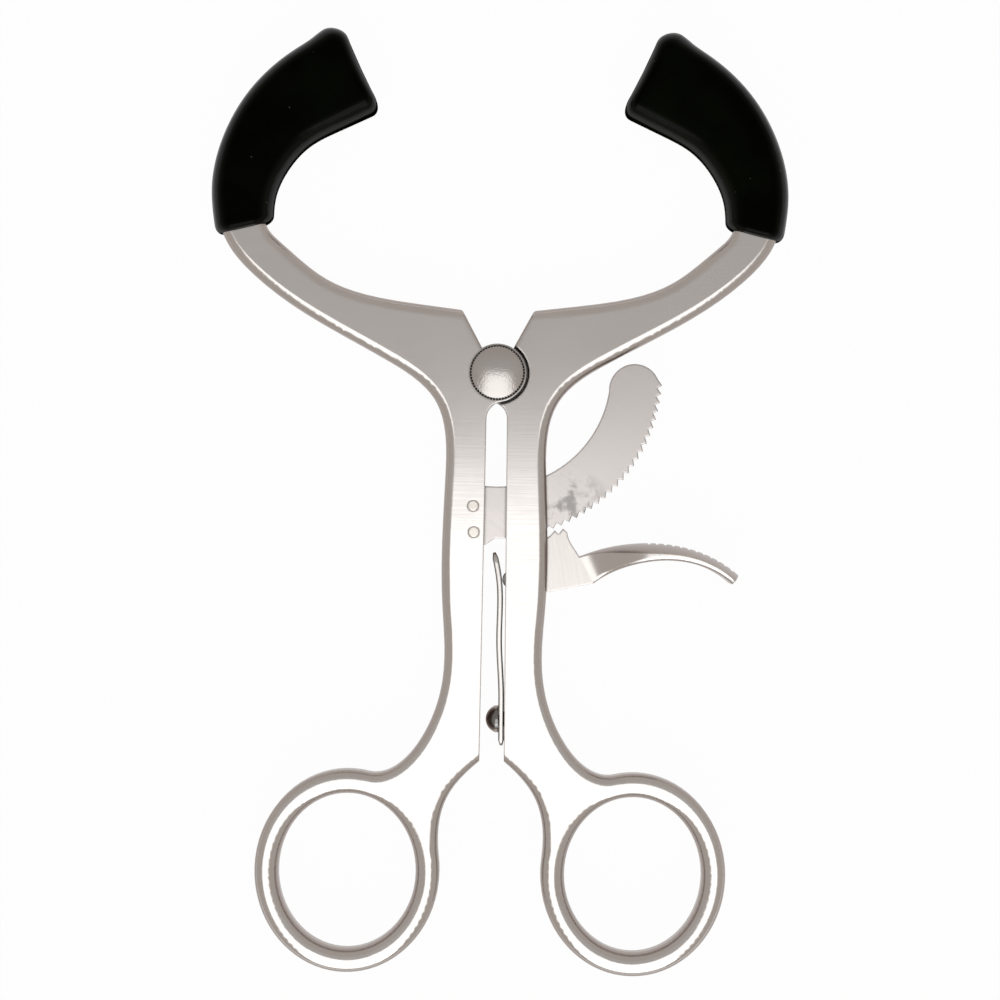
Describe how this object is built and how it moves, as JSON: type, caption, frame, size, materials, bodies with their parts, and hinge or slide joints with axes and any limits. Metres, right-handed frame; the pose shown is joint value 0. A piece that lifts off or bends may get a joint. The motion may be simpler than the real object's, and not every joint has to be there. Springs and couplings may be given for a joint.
{
  "type": "mouth gag",
  "caption": "Surgical mouth gag with ringed steel handles on a screw pivot, curved jaws in black rubber sleeves and a toothed arc held by a sprung thumb pawl.",
  "frame": {"origin": "On the resting plane, under the middle of the outline. Z = 0 touches the thickest part of the rubber tips.", "axes": "+Y runs from the finger rings to the jaw tips, +X to the side the ratchet bar sticks out on, +Z out of the face that shows the pivot screw's head."},
  "size_m": [0.0854, 0.1392, 0.01],
  "materials": {
    "arm_steel": "satin stainless steel, finely brushed",
    "ratchet_steel": "satin stainless steel, flat ground",
    "screw_steel": "satin stainless steel, turned, knurled rim",
    "spring_steel": "polished spring steel",
    "dark_steel": "polished, seen dark between the handles",
    "sleeve_rubber": "glossy black moulded rubber"
  },
  "bodies": {
    "left_arm": {"left_arm": "arm_steel", "ratchet_bar": "ratchet_steel", "upper_rack_rivet": "arm_steel", "lower_rack_rivet": "arm_steel", "left_tip_sleeve": "sleeve_rubber"},
    "right_arm": {"right_arm": "arm_steel", "pivot_screw": "screw_steel", "pawl_pin": "arm_steel", "pawl_spring": "spring_steel", "spring_screw": "dark_steel", "right_tip_sleeve": "sleeve_rubber"},
    "pawl": {"pawl_lever": "ratchet_steel"}
  },
  "joints": [
    {"name": "jaw_hinge", "type": "hinge", "parent": "left_arm", "child": "right_arm", "pos_m": [0, 0.0191, 0.005], "axis": [0, 0, 1], "range_deg": [0, 48]},
    {"name": "pawl_pivot", "type": "hinge", "parent": "right_arm", "child": "pawl", "pos_m": [0.0043, -0.0098, 0.005], "axis": [0, 0, 1], "range_deg": [-10, 8], "stiffness_Nm_per_rad": 0.2, "deforming": ["pawl_spring"]}
  ]
}
